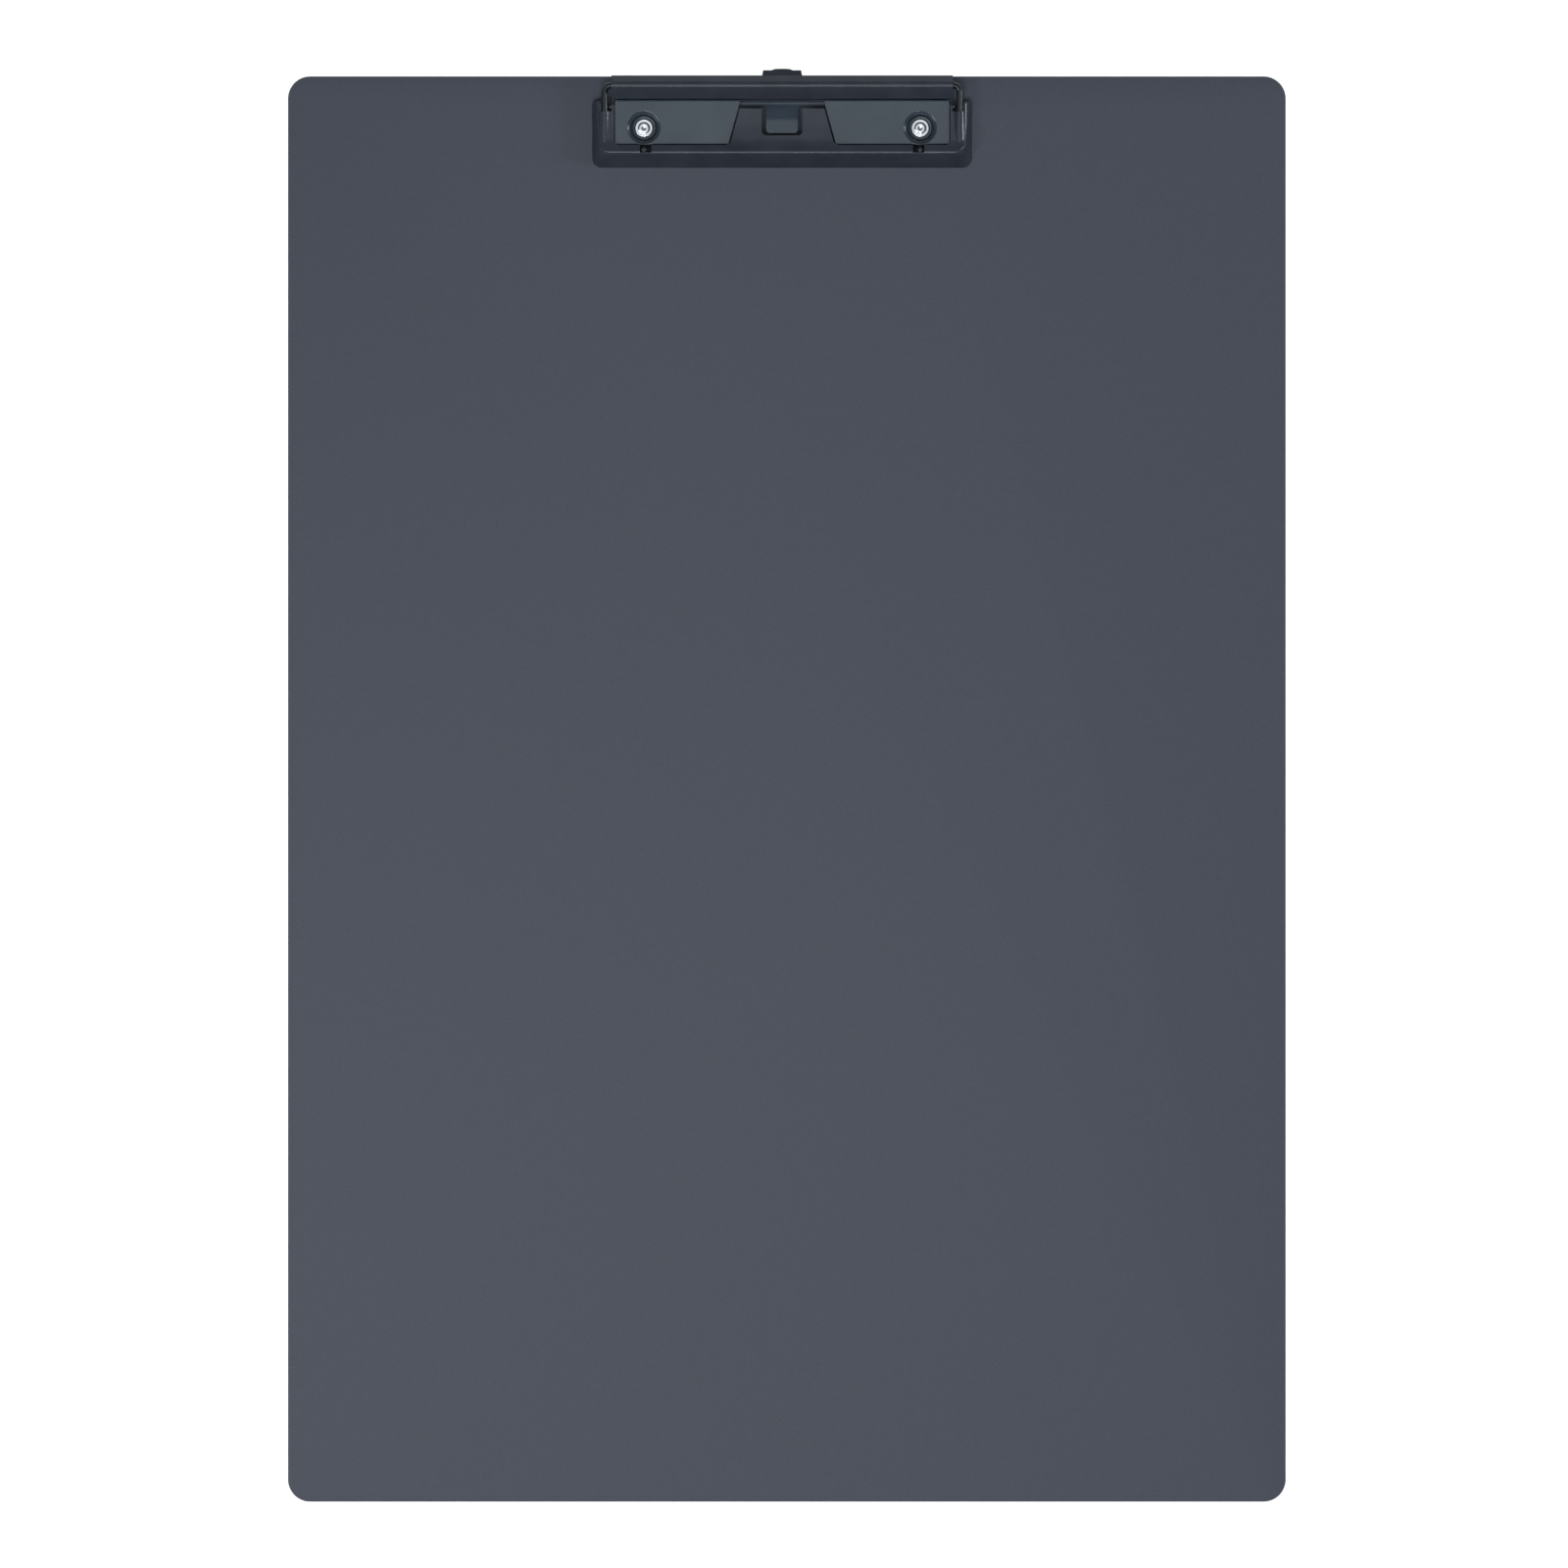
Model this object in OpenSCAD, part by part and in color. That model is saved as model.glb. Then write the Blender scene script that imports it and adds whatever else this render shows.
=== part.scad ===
// Clipboard for large sheets: a film-covered board with a riveted sprung clip.
// The board lies flat with its back face on XY. +Z is up, +Y points to the clip end.
// Clip parts are drawn in their own frame: x from the clip's middle line, y from the
// board's clip end (set-backs run along -y), z from the board's top face.

/* [Board] */
// Width of the board
board_w = 315; // [220:1:400]
// Length of the board from clip end to foot
board_l = 450; // [300:1:560]
// Full thickness of the board with its covers
board_t = 3; // [2.4:0.1:5]
// Radius of the board's corners
board_corner_r = 7; // [3:0.5:20]
// Thickness of each cover film
cover_t = 0.4; // [0.2:0.05:0.6]
// Width of the rim where the two films close round the edge
rim_w = 1; // [0.6:0.1:3]

/* [Clip] */
// Sideways offset of the clip from the board's middle line
clip_shift_x = -1.5; // [-5:0.5:5]
// Overall width of the clip across its jaw
jaw_w = 120; // [100:1:150]
// Thickness of the clip's sheet steel
sheet_t = 0.8; // [0.6:0.05:1]
// Gap between steel faces that pass each other
side_gap = 0.3; // [0.2:0.05:0.5]
// Radial clearance of a pin in the hole that turns on it
pin_fit = 0.05; // [0.02:0.01:0.1]

/* [Lever] */
// Set-back of the lever's hinge axis
lever_axis_s = 3.1; // [2.8:0.1:3.6]
// Height of the lever's hinge axis
lever_axis_h = 4.8; // [4.4:0.1:5.8]
// Rise of the bar's ridge above the hinge axis
ridge_rise = 4; // [3.6:0.1:5]
// Rise of the bar's rear edge above the hinge axis
rear_rise = 0.8; // [0.4:0.1:1.4]
// Drop of the bar's front edge below the hinge axis
front_drop = 0.4; // [0:0.1:0.8]
// Depth of the bar in front of the hinge axis
bar_front = 4.2; // [3.8:0.1:5]
// Radius of the bar's ridge
ridge_r = 1.1; // [0.9:0.1:1.6]
// Width of the finger tab
tab_w = 13; // [8:0.5:30]
// How far the tab reaches past the board
tab_reach = 2.2; // [1:0.1:8]
// Distance of the cam nose from the hinge axis
cam_reach = 3.4; // [3:0.1:3.8]
// Radius of the cam nose
cam_r = 0.6; // [0.4:0.05:0.8]
// Angle of the cam nose below the forward direction
cam_angle = 14; // [8:1:18]
// Metal round the hinge hole in an ear
ear_wall = 0.65; // [0.5:0.05:0.8]

/* [Jaw] */
// Set-back of the jaw's front edge
lip_front_s = 29.1; // [27:0.1:34]
// Set-back of the lip's crest
crest_s = 24.2; // [23.6:0.1:26]
// Height of the lip's crest
crest_h = 7.2; // [6.6:0.1:9]
// Set-back of the front edge of the windows
window_s = 22; // [21.8:0.1:22.6]
// Height of the jaw's flat top between its windows and on its arms
jaw_top_h = 4.6; // [4.4:0.1:5.4]
// Width of each arm
arm_w = 7; // [6.4:0.1:9]
// Plan radius of the jaw's front corners
jaw_corner_r = 3.5; // [2:0.5:6]
// Sideways run of the sloping end flange
flange_run = 1.8; // [1:0.1:2.4]
// Set-back of the rear end of an arm's outer part
arm_rear_s = 7.3; // [7.3:0.1:8.7]
// Set-back of the mouth of a wire channel
mouth_s = 11.3; // [11:0.1:12]
// Half width of the middle plate at its rear edge
plate_rear_half = 13.3; // [12:0.1:16]
// Half width of the middle plate where it meets the lip
plate_front_half = 16.5; // [14:0.1:22]
// Set-back of the rear edge of the middle plate
plate_rear_s = 10.4; // [10.2:0.1:11]
// Half width of the notch round the tongue
notch_half = 6.6; // [6.2:0.1:9]
// Gap between the jaw's lip and the board at rest
lip_gap = 0.15; // [0.1:0.05:0.3]
// Set-back of the jaw's hinge axis
jaw_axis_s = 9.6; // [9.2:0.1:9.9]
// Height of the jaw's hinge axis
jaw_axis_h = 2.2; // [2.1:0.1:2.4]
// Radius of the jaw's hinge pins
jaw_pin_r = 0.9; // [0.7:0.05:1]
// Radius of the lug round a hinge pin
lug_r = 2; // [1.7:0.1:2]
// Height of the heel above the jaw's hinge axis
heel_rise = 0.5; // [0.2:0.1:0.6]
// Depth of the heel strip
heel_t = 0.8; // [0.6:0.05:0.9]
// Reach of the heel behind the jaw's hinge axis
heel_reach = 5; // [4.6:0.1:5.1]

/* [Base plate] */
// Set-back of the base plate's rear face
base_rear_s = 7.7; // [7.6:0.1:8]
// Set-back of the base plate's front face
base_front_s = 21.9; // [21.6:0.1:22]
// Height of the deck
deck_h = 4.2; // [3.8:0.1:4.3]
// Outside bend radius of the deck's edges
deck_bend_r = 1.2; // [0.9:0.1:2]
// Height of the low strips that carry the rear ears
foot_h = 1.2; // [0.9:0.1:1.4]
// Gap between the deck's cut-out and the jaw's middle plate
plate_gap = 0.6; // [0.4:0.05:1]
// Set-back of the front face of the crossbar
crossbar_front_s = 9.2; // [9:0.1:9.3]
// Height of the crossbar above the deck
crossbar_rise = 0.8; // [0.5:0.1:1]
// Half width of the tongue
tongue_half = 5.7; // [4:0.1:5.9]
// Set-back of the tongue's tip
tongue_tip_s = 18.1; // [16:0.1:18.2]
// Height of the tongue's top face above the deck
tongue_rise = 0.3; // [0.1:0.05:0.5]
// Gap between the tongue's tip and the end of the notch
notch_gap = 0.8; // [0.7:0.1:1.4]

/* [Springs] */
// Diameter of the spring wire
wire_d = 2; // [1.6:0.05:2.2]
// Distance of the wire's leg from the jaw's end
wire_inset = 4; // [3.6:0.1:4.4]
// Radius of the wire's rear bend, to its middle
rear_bend_r = 2; // [1.4:0.1:2]
// Radius of the wire's front corner, to its middle
front_bend_r = 2.5; // [1.8:0.1:2.6]
// Set-back of the wire behind the lip
wire_front_s = 23.4; // [23.2:0.1:23.6]
// Height of the wire behind the lip
wire_front_h = 3.95; // [3.6:0.05:4.2]
// Distance of the wire's turned-up tip from the clip's middle line
tip_x = 43.6; // [38:0.1:46]
// Radius of the bend under the tip
tip_bend_r = 1.4; // [1.2:0.1:2]
// Straight length of the tip above its bend
tip_l = 0.8; // [0.4:0.1:1.4]
// Reach of the wire's rear end inside the base plate's ear
wire_end_reach = 0.7; // [0.3:0.1:2]
// Radial clearance of the wire in its channel
channel_gap = 0.1; // [0.05:0.05:0.3]

/* [Rivets] */
// Distance between the two rivets
rivet_spacing = 87.2; // [60:0.1:90]
// Set-back of the rivets
rivet_s = 16.4; // [15.8:0.1:16.6]
// Diameter of a rivet's shank
rivet_d = 3.2; // [2.5:0.1:4]
// Diameter of a rivet's front head
rivet_head_d = 6; // [5:0.1:6.4]
// Height of a rivet's front head
rivet_head_h = 1; // [0.7:0.1:1.4]
// Diameter of a rivet's back head
rivet_back_d = 8; // [6:0.1:10]
// Thickness of a rivet's back head
rivet_back_t = 0.6; // [0.4:0.05:1]
// Radial clearance of a rivet in its holes
rivet_fit = 0.1; // [0.05:0.05:0.3]
// Diameter of the dimple at the deck
dimple_d = 10; // [8.6:0.1:10.2]
// Diameter of the dimple's flat floor
dimple_floor_d = 6.8; // [6.4:0.1:7.4]

/* [Hidden] */
$fn = 48;
through = 20;
arc_steps = 5;
dimple_clear = 0.05;

wire_r = wire_d / 2;
jaw_half = jaw_w / 2;
arm_inner = jaw_half - arm_w;
ear_outer = arm_inner + sheet_t;
base_half = arm_inner - side_gap;
base_wall_inner = base_half - sheet_t;

lever_front_s = lever_axis_s + bar_front;
lever_front_h = lever_axis_h - front_drop;
lever_rear_h = lever_axis_h + rear_rise;
ridge_h = lever_axis_h + ridge_rise;
ear_r = wire_r + pin_fit + ear_wall;

leg_x = jaw_half - wire_inset;
rear_bend_x = leg_x - rear_bend_r;
corner_x = leg_x - front_bend_r;
wire_run = wire_front_s - lever_axis_s;
wire_tilt = atan2(lever_axis_h - wire_front_h, wire_run);
wire_run_l = wire_run / cos(wire_tilt);
corner_v = wire_run_l - front_bend_r;
mouth_v = (mouth_s - lever_axis_s) / cos(wire_tilt);
channel_r = wire_r + channel_gap;
channel_outer_r = channel_r + sheet_t;
channel_low = deck_h + side_gap - wire_front_h;

notch_end_s = tongue_tip_s + notch_gap;
shank_r = rivet_d / 2;
rivet_hole_r = shank_r + rivet_fit;
back_pocket_r = rivet_back_d / 2 + rivet_fit;
back_pocket_t = rivet_back_t + rivet_fit;

// ---- outlines ----

function unit(v) = v / norm(v);
function left_of(a, b) = let (d = unit(b - a)) [-d.y, d.x];
function turn(a, b, c) = sign(cross(b - a, c - b));
function reversed(list) = [for (i = [len(list) - 1:-1:0]) list[i]];

// The points that round corner b of the path a, b, c
function corner_arc(a, b, c, r) =
    r <= 0 ? [b] :
    let (
        u = unit(a - b),
        v = unit(c - b),
        half = acos(u * v) / 2,
        centre = b + unit(u + v) * r / sin(half),
        p = b + u * r / tan(half) - centre,
        q = b + v * r / tan(half) - centre
    )
    [for (i = [0:arc_steps]) centre + r * unit(p * (arc_steps - i) + q * i)];

// A closed outline with rounded corners
function rounded(pts, radii) =
    let (n = len(pts))
    [for (i = [0:n - 1]) each corner_arc(pts[(i + n - 1) % n], pts[i], pts[(i + 1) % n], radii[i])];

// An open path with rounded corners
function rounded_path(pts, radii) =
    let (n = len(pts))
    [for (i = [0:n - 1])
        each (i == 0 || i == n - 1) ? [pts[i]] : corner_arc(pts[i - 1], pts[i], pts[i + 1], radii[i])];

// An open path moved sideways to its right by t
function beside(pts, t) =
    let (n = len(pts))
    [for (i = [0:n - 1])
        let (
            before = -left_of(pts[max(i - 1, 0)], pts[max(i, 1)]),
            after = -left_of(pts[min(i, n - 2)], pts[min(i + 1, n - 1)])
        )
        pts[i] + (before + after) * t / (1 + before * after)];

function radii_beside(pts, radii, t) =
    let (n = len(pts))
    [for (i = [0:n - 1])
        (i == 0 || i == n - 1) ? 0 :
        radii[i] <= 0 ? 0 : max(0.05, radii[i] + t * turn(pts[i - 1], pts[i], pts[i + 1]))];

// The section of a sheet t thick whose outer face follows the path, the metal on its right
function sheet_section(pts, radii, t) = concat(
    rounded_path(pts, radii),
    reversed(rounded_path(beside(pts, t), radii_beside(pts, radii, t)))
);

// ---- placing ----

module on_board() {
    translate([clip_shift_x, board_l / 2, board_t])
        children();
}

module both_sides() {
    children();
    mirror([1, 0, 0])
        children();
}

// A section drawn as [set-back, height], extruded from x0 to x1
module across(x0, x1) {
    translate([x1, 0, 0])
        rotate([90, 0, -90])
            linear_extrude(x1 - x0)
                children();
}

// A section drawn as [x, height], extruded from set-back s0 to s1
module forward(s0, s1) {
    translate([0, -s0, 0])
        rotate([90, 0, 0])
            linear_extrude(s1 - s0)
                children();
}

// ---- board ----

module board_outline(inset) {
    w = board_w / 2 - inset;
    l = board_l / 2 - inset;
    r = board_corner_r - inset;
    square([2 * w, 2 * (l - r)], center = true);
    square([2 * (w - r), 2 * l], center = true);
    for (x = [-1, 1], y = [-1, 1])
        translate([x * (w - r), y * (l - r)])
            circle(r);
}

module rivet_places() {
    for (x = [-1, 1])
        translate([clip_shift_x + x * rivet_spacing / 2, board_l / 2 - rivet_s, 0])
            children();
}

module rivet_holes() {
    rivet_places()
        translate([0, 0, -1])
            cylinder(r = rivet_hole_r, h = through);
}

module back_pockets() {
    rivet_places()
        translate([0, 0, -1])
            cylinder(r = back_pocket_r, h = 1 + back_pocket_t);
}

module board_core() {
    color([0.62, 0.55, 0.45])
        difference() {
            translate([0, 0, cover_t])
                linear_extrude(board_t - 2 * cover_t)
                    board_outline(rim_w);
            rivet_holes();
            back_pockets();
        }
}

// One film: a flat sheet with a rim that closes half of the edge
module cover() {
    linear_extrude(cover_t)
        board_outline(0);
    linear_extrude(board_t / 2)
        difference() {
            board_outline(0);
            board_outline(rim_w);
        }
}

module front_cover() {
    color([0.3, 0.34, 0.38])
        difference() {
            translate([0, 0, board_t])
                mirror([0, 0, 1])
                    cover();
            rivet_holes();
        }
}

module back_cover() {
    color([0.27, 0.3, 0.34])
        difference() {
            cover();
            rivet_holes();
            back_pockets();
        }
}

// ---- rivets ----

// Round rivet: domed front head with a ring and a centre dimple, flat back head
module rivet() {
    head_r = rivet_head_d / 2;
    ring_r = head_r * 0.6;
    dimple_r = head_r * 0.2;
    floor_z = board_t + sheet_t;
    difference() {
        union() {
            translate([0, 0, rivet_fit])
                cylinder(r = rivet_back_d / 2, h = rivet_back_t);
            translate([0, 0, rivet_fit])
                cylinder(r = shank_r, h = floor_z + rivet_head_h / 2 - rivet_fit);
            translate([0, 0, floor_z])
                cylinder(r1 = head_r, r2 = head_r - rivet_head_h / 4, h = rivet_head_h * 0.6);
            translate([0, 0, floor_z + rivet_head_h * 0.6])
                cylinder(r = ring_r, h = rivet_head_h * 0.4);
        }
        translate([0, 0, floor_z + rivet_head_h * 0.7])
            cylinder(r = dimple_r, h = rivet_head_h);
    }
}

module rivet_at(side) {
    color([0.8, 0.8, 0.82])
        translate([clip_shift_x + side * rivet_spacing / 2, board_l / 2 - rivet_s, 0])
            rivet();
}

module left_rivet() {
    rivet_at(-1);
}

module right_rivet() {
    rivet_at(1);
}

// ---- base plate ----

base_path = [
    [base_rear_s, 0],
    [base_rear_s, deck_h],
    [base_front_s, deck_h],
    [base_front_s, 0]
];

// The middle plate's outline in plan, grown by gap, from its rear edge to the lip
module middle_plate_plan(gap, rear_s, front_s) {
    slope = (plate_front_half - plate_rear_half) / (window_s - plate_rear_s);
    rear = plate_rear_half + gap + slope * (rear_s - plate_rear_s);
    front = plate_rear_half + gap + slope * (front_s - plate_rear_s);
    polygon([[-rear, -rear_s], [rear, -rear_s], [front, -front_s], [-front, -front_s]]);
}

module side_wall() {
    across(base_wall_inner, base_half)
        difference() {
            union() {
                polygon(rounded(
                    [
                        [lever_axis_s - ear_r, 0],
                        [lever_axis_s - ear_r, foot_h],
                        [base_rear_s, foot_h],
                        [base_rear_s, deck_h],
                        [base_front_s, deck_h],
                        [base_front_s, 0]
                    ],
                    [0, 0, 0, deck_bend_r, deck_bend_r, 0]
                ));
                translate([lever_axis_s, lever_axis_h])
                    circle(ear_r);
                translate([lever_axis_s - ear_r, 0])
                    square([2 * ear_r, lever_axis_h]);
            }
            translate([lever_axis_s, lever_axis_h])
                circle(wire_r + pin_fit);
            translate([jaw_axis_s, jaw_axis_h])
                circle(jaw_pin_r);
        }
}

// A cone pressed down to the board for a rivet, flattened where the front flange meets it
module dimple() {
    mouth_r = dimple_d / 2;
    floor_r = dimple_floor_d / 2;
    outer_r = mouth_r + sheet_t;
    front_reach = base_front_s - rivet_s;
    intersection() {
        rotate_extrude()
            polygon([
                [mouth_r, deck_h],
                [floor_r, sheet_t],
                [rivet_hole_r, sheet_t],
                [rivet_hole_r, 0],
                [floor_r + sheet_t, 0],
                [outer_r, deck_h]
            ]);
        translate([-outer_r - 1, -front_reach, -1])
            cube([2 * outer_r + 2, front_reach + outer_r + 1, through]);
    }
}

module tongue() {
    top = deck_h + tongue_rise;
    translate([0, 0, top - sheet_t])
        linear_extrude(sheet_t)
            polygon(rounded(
                [
                    [-tongue_half, -base_rear_s - sheet_t],
                    [-tongue_half, -tongue_tip_s],
                    [tongue_half, -tongue_tip_s],
                    [tongue_half, -base_rear_s - sheet_t]
                ],
                [0, 1.1, 1.1, 0]
            ));
}

module crossbar() {
    half = plate_rear_half;
    across(-half, half)
        polygon(rounded(
            [
                [base_rear_s, deck_h - sheet_t],
                [base_rear_s, deck_h + crossbar_rise],
                [crossbar_front_s, deck_h + crossbar_rise],
                [crossbar_front_s, deck_h - sheet_t]
            ],
            [0, 0.3, 0.6, 0]
        ));
}

module base_plate() {
    dimple_mouth_r = dimple_d / 2 + dimple_clear;
    color([0.4, 0.45, 0.52])
        on_board() {
            difference() {
                across(-base_half, base_half)
                    polygon(sheet_section(base_path, [0, deck_bend_r, deck_bend_r, 0], sheet_t));
                for (x = [-1, 1])
                    translate([x * rivet_spacing / 2, -rivet_s, deck_h - sheet_t - 1])
                        cylinder(r = dimple_mouth_r, h = through);
                translate([0, 0, -1])
                    linear_extrude(through)
                        middle_plate_plan(plate_gap, crossbar_front_s, base_front_s + 1);
            }
            for (x = [-1, 1])
                translate([x * rivet_spacing / 2, -rivet_s, 0])
                    dimple();
            both_sides()
                side_wall();
            crossbar();
            tongue();
        }
}

// ---- lever ----

lever_path = [
    [0, lever_rear_h],
    [lever_axis_s, ridge_h],
    [lever_front_s, lever_front_h]
];

// The ear that closes each end of the bar: hinge hole, cam nose and web
module lever_ear() {
    nose = [
        lever_axis_s + cam_reach * cos(cam_angle),
        lever_axis_h - cam_reach * sin(cam_angle)
    ];
    across(arm_inner, ear_outer)
        difference() {
            union() {
                polygon(rounded_path(lever_path, [0, ridge_r, 0]));
                translate([lever_axis_s, lever_axis_h])
                    circle(ear_r);
                translate(nose)
                    circle(cam_r);
                polygon([
                    [lever_axis_s, lever_axis_h - ear_r],
                    nose + cam_r * [-sin(cam_angle), -cos(cam_angle)],
                    nose + cam_r * [cos(cam_angle), -sin(cam_angle)],
                    [lever_front_s, lever_front_h],
                    [lever_axis_s, lever_axis_h + ear_r]
                ]);
            }
            translate([lever_axis_s, lever_axis_h])
                circle(wire_r + pin_fit);
        }
}

// The finger tab: leaves the rear face half way up and runs out past the board
module tab() {
    half = tab_w / 2;
    shoulder = 0.5;
    arch_half = tab_w * 0.27;
    rise = (ridge_h - lever_rear_h) / lever_axis_s;
    path = [
        [lever_axis_s * 0.55, lever_rear_h + rise * lever_axis_s * 0.55],
        [0, lever_rear_h],
        [-tab_reach - 1, lever_rear_h - 0.3]
    ];
    intersection() {
        across(-half, half)
            polygon(sheet_section(path, [0, 1, 0], sheet_t));
        linear_extrude(through)
            polygon([
                [-half, -lever_axis_s],
                [half, -lever_axis_s],
                [half, tab_reach - shoulder],
                [arch_half, tab_reach - shoulder],
                [arch_half * 0.8, tab_reach],
                [-arch_half * 0.8, tab_reach],
                [-arch_half, tab_reach - shoulder],
                [-half, tab_reach - shoulder]
            ]);
    }
}

module lever() {
    color([0.13, 0.15, 0.18])
        on_board() {
            across(-ear_outer, ear_outer)
                polygon(sheet_section(lever_path, [0, ridge_r, 0], sheet_t));
            both_sides()
                lever_ear();
            tab();
        }
}

// ---- springs and their channels ----

// The plane of a wire: x across, -y along the wire's run from the lever's axis
module wire_plane() {
    translate([0, -lever_axis_s, lever_axis_h])
        rotate([wire_tilt, 0, 0])
            children();
}

module leg_run(v0, v1) {
    translate([leg_x, -v0, 0])
        rotate([90, 0, 0])
            linear_extrude(v1 - v0)
                children();
}

module corner_run() {
    translate([corner_x, -corner_v, 0])
        rotate([0, 0, -90])
            rotate_extrude(angle = 90)
                translate([front_bend_r, 0])
                    children();
}

module front_run(x0, x1) {
    translate([x0, -wire_run_l, 0])
        rotate([90, 0, 90])
            linear_extrude(x1 - x0)
                children();
}

module spring() {
    tip_start_x = tip_x + tip_bend_r;
    rear_x = base_wall_inner - wire_end_reach;
    wire_plane() {
        translate([rear_x, 0, 0])
            rotate([0, 90, 0])
                cylinder(r = wire_r, h = rear_bend_x - rear_x);
        translate([rear_bend_x, -rear_bend_r, 0])
            rotate_extrude(angle = 90)
                translate([rear_bend_r, 0])
                    circle(wire_r);
        leg_run(rear_bend_r, corner_v)
            circle(wire_r);
        corner_run()
            circle(wire_r);
        front_run(tip_start_x, corner_x)
            circle(wire_r);
        translate([tip_start_x, -wire_run_l, tip_bend_r])
            rotate([90, 0, 0])
                rotate([0, 0, 180])
                    rotate_extrude(angle = 90)
                        translate([tip_bend_r, 0])
                            circle(wire_r);
        translate([tip_x, -wire_run_l, tip_bend_r])
            cylinder(r = wire_r, h = tip_l);
    }
}

module right_spring() {
    color([0.2, 0.21, 0.23])
        on_board()
            spring();
}

module left_spring() {
    color([0.2, 0.21, 0.23])
        on_board()
            mirror([1, 0, 0])
                spring();
}

// The upper part of a ring round the wire, kept above a height over the wire's middle
module channel_wall(low) {
    difference() {
        intersection() {
            circle(channel_outer_r);
            translate([-channel_outer_r, low])
                square([2 * channel_outer_r, through]);
        }
        channel_bore();
    }
}

module channel_bore() {
    circle(channel_r);
    translate([-channel_r, -through])
        square([2 * channel_r, through]);
}

// The bore runs out through the mouth, and its stretches overlap a little
module channel_bores() {
    overlap = 0.02;
    leg_run(mouth_v - 1, corner_v + overlap)
        channel_bore();
    corner_run()
        channel_bore();
    front_run(tip_x, corner_x + overlap)
        channel_bore();
}

module channel_walls() {
    leg_run(mouth_v, corner_v)
        channel_wall(-sheet_t);
    corner_run()
        channel_wall(channel_low);
    front_run(tip_x, corner_x)
        channel_wall(channel_low);
}

// ---- jaw ----

ramp_s = crest_s - 9;
jaw_path = [
    [arm_rear_s, 1],
    [arm_rear_s + 0.8, jaw_top_h - 0.4],
    [arm_rear_s + 2.4, jaw_top_h],
    [ramp_s, jaw_top_h],
    [window_s - 0.4, jaw_top_h + (crest_h - jaw_top_h) * 0.45],
    [crest_s, crest_h],
    [crest_s + 1.2, crest_h - 0.3],
    [lip_front_s - 0.4, 1.2],
    [lip_front_s, 0]
];
jaw_path_radii = [0, 0.8, 1, 6, 6, 0.6, 1, 1, 0];

// The jaw's envelope under its top face, shrunk by t
module jaw_envelope(t) {
    path = beside(jaw_path, t);
    low = -1;
    high = crest_h + 1;
    drop = high - low;
    lean = flange_run / jaw_top_h;
    wall = t * norm([1, lean]);
    end_low = jaw_half + lean - wall;
    end_high = jaw_half - lean * high - wall;
    intersection() {
        across(-jaw_half - 1, jaw_half + 1)
            polygon(concat(
                [[path[0].x, low - t]],
                rounded_path(path, radii_beside(jaw_path, jaw_path_radii, t)),
                [[path[len(path) - 1].x, low - t]]
            ));
        forward(0, lip_front_s + 1)
            polygon([[-end_low, low - t], [-end_high, high], [end_high, high], [end_low, low - t]]);
        translate([0, 0, low - t])
            linear_extrude(drop + t)
                front_corner_plan(t);
    }
}

// Plan of the whole jaw with its front corners rounded
module front_corner_plan(t) {
    half = jaw_half - t;
    front = lip_front_s - t;
    polygon(rounded(
        [[-half, 0], [-half, -front], [half, -front], [half, 0]],
        [0, jaw_corner_r - t, jaw_corner_r - t, 0]
    ));
}

// What the jaw keeps in plan: the lip, the arms and the middle plate
module jaw_plan() {
    arm_step = leg_x + channel_r;
    difference() {
        union() {
            translate([-jaw_half, -lip_front_s])
                square([jaw_w, lip_front_s - window_s]);
            middle_plate_plan(0, plate_rear_s, window_s);
            for (side = [-1, 1])
                plate_foot(side);
            both_arms(arm_inner, mouth_s);
            both_arms(arm_step, 0);
        }
        polygon(rounded(
            [
                [-notch_half, -plate_rear_s + 1],
                [-notch_half, -notch_end_s],
                [notch_half, -notch_end_s],
                [notch_half, -plate_rear_s + 1]
            ],
            [0, 1.3, 1.3, 0]
        ));
    }
}

module both_arms(inner_x, rear_s) {
    for (side = [0, 1])
        mirror([side, 0, 0])
            translate([inner_x, -lip_front_s])
                square([jaw_half - inner_x, lip_front_s - rear_s]);
}

// The fillet between the middle plate and the lip
module plate_foot(side) {
    foot_r = 2;
    translate([side * plate_front_half, -window_s])
        difference() {
            translate([-foot_r, 0])
                square([2 * foot_r, foot_r]);
            translate([side * foot_r, foot_r])
                circle(foot_r);
            translate([side * foot_r - foot_r, foot_r])
                square([2 * foot_r, foot_r]);
        }
}

// The lug that hangs from an arm: pin hole and the heel that the cam presses
module jaw_lug() {
    front_s = mouth_s + 3;
    heel_top = jaw_axis_h + heel_rise;
    heel_rear = jaw_axis_s - heel_reach;
    across(arm_inner, ear_outer)
        difference() {
            union() {
                translate([jaw_axis_s, jaw_axis_h])
                    circle(lug_r);
                polygon(rounded(
                    [
                        [heel_rear, heel_top - heel_t],
                        [heel_rear, heel_top],
                        [jaw_axis_s, heel_top],
                        [jaw_axis_s, heel_top - heel_t]
                    ],
                    [0.3, 0.3, 0, 0]
                ));
                polygon([
                    [jaw_axis_s, jaw_axis_h - lug_r],
                    [jaw_axis_s, jaw_axis_h + lug_r],
                    [mouth_s, jaw_top_h - sheet_t / 2],
                    [front_s, jaw_top_h - sheet_t / 2],
                    [front_s, jaw_axis_h]
                ]);
            }
            translate([jaw_axis_s, jaw_axis_h])
                circle(jaw_pin_r + pin_fit);
        }
}

// Slot in the lip's rear face for the turned-up tip of each wire
module tip_slot() {
    slot_w = wire_d + 2 * channel_gap + 0.4;
    translate([tip_x - slot_w / 2, -wire_front_s - slot_w / 2, lip_gap])
        cube([slot_w + tip_bend_r, wire_front_s + slot_w / 2 - window_s + 1, through]);
}

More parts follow.
